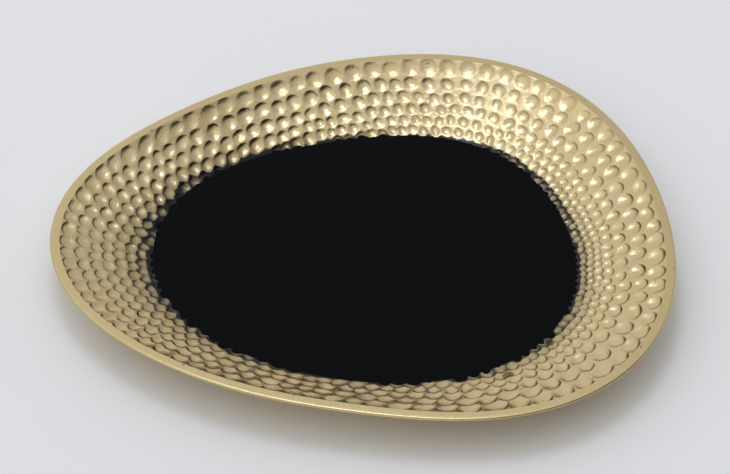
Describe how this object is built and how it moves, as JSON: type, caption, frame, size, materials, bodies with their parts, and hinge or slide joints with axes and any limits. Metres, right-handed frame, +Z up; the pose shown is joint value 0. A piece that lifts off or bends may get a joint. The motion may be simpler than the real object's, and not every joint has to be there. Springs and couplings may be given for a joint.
{
  "type": "decorative tray",
  "caption": "Egg-shaped brass tray with a hammered flared wall, a narrow flat lip and a black enamel floor, standing on felt pads.",
  "frame": {"origin": "centre of the outline's bounding box, on the surface that the tray stands on", "axes": "+X to the broad end of the egg shape, +Y to the back, +Z up"},
  "size_m": [0.38, 0.318, 0.0273],
  "materials": {
    "brass": "satin, lacquered, lightly tarnished in the hammer marks",
    "enamel": "black enamel, smooth and glossy",
    "felt": "dark pressed felt"
  },
  "bodies": {
    "root": {"tray_body": "brass", "enamel_floor": "enamel", "felt_pad_front_left": "felt", "felt_pad_front_right": "felt", "felt_pad_back_left": "felt", "felt_pad_back_right": "felt"}
  },
  "joints": []
}
